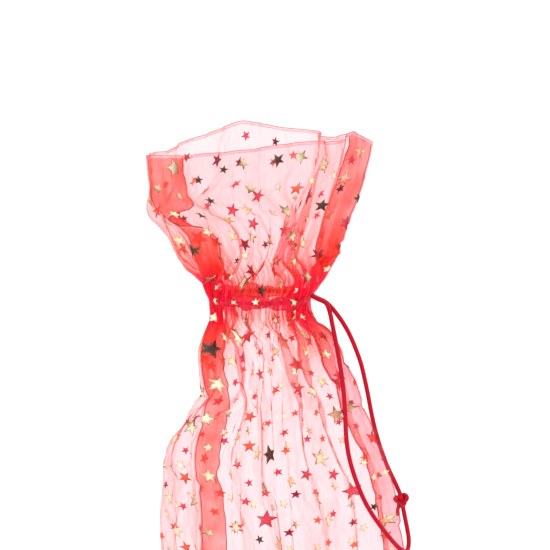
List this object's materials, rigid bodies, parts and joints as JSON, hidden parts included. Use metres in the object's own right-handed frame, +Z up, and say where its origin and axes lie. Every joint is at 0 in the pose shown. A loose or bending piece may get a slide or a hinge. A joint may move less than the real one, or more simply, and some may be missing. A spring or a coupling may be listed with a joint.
{
  "type": "drawstring bottle gift bag",
  "caption": "Tall sheer organza bag with foil stars, gathered round a bottle's neck by a satin drawstring, in the shape it takes with a bottle inside.",
  "frame": {"origin": "middle of the base, where the axis of the bottle that the bag is shaped round meets the surface it stands on", "axes": "+Z up the bottle's axis to the mouth, -Y the front, +X towards the side seam that the drawstring hangs on"},
  "size_m": [0.1326, 0.0864, 0.331],
  "materials": {
    "organza": "sheer red organza with a slight shimmer",
    "organza_folded": "two or more layers of the same organza, denser and deeper red",
    "satin_cord": "crimson satin cord with a soft gloss",
    "thread": "crimson polyester sewing thread",
    "gold_foil": "bright champagne-gold hot-stamped foil"
  },
  "bodies": {
    "bag": {"front_panel": "organza", "back_panel": "organza", "left_seam_allowance": "organza_folded", "right_seam_allowance": "organza_folded", "bottom_seam_allowance": "organza_folded", "front_lip_hem": "organza_folded", "back_lip_hem": "organza_folded", "front_casing": "organza_folded", "back_casing": "organza_folded", "drawstring_ring": "satin_cord", "side_seam_threads": "thread", "bottom_seam_thread": "thread", "lip_hem_threads": "thread", "casing_threads": "thread", "front_stars_large": "gold_foil", "front_stars_medium": "gold_foil", "front_stars_small": "gold_foil", "back_stars_large": "gold_foil", "back_stars_medium": "gold_foil", "back_stars_small": "gold_foil"},
    "drawstring_exit": {"drawstring_exit": "satin_cord"},
    "drawstring_loop": {"drawstring_loop": "satin_cord", "drawstring_knot": "satin_cord"}
  },
  "joints": [
    {"name": "drawstring_pull", "type": "slide", "parent": "bag", "child": "drawstring_exit", "axis": [0.8944, 0, -0.4472], "range_m": [0, 0.005]},
    {"name": "drawstring_swing", "type": "hinge", "parent": "drawstring_exit", "child": "drawstring_loop", "pos_m": [0.03139, 0, 0.24975], "axis": [0, -1, 0], "range_deg": [0, 75]}
  ]
}
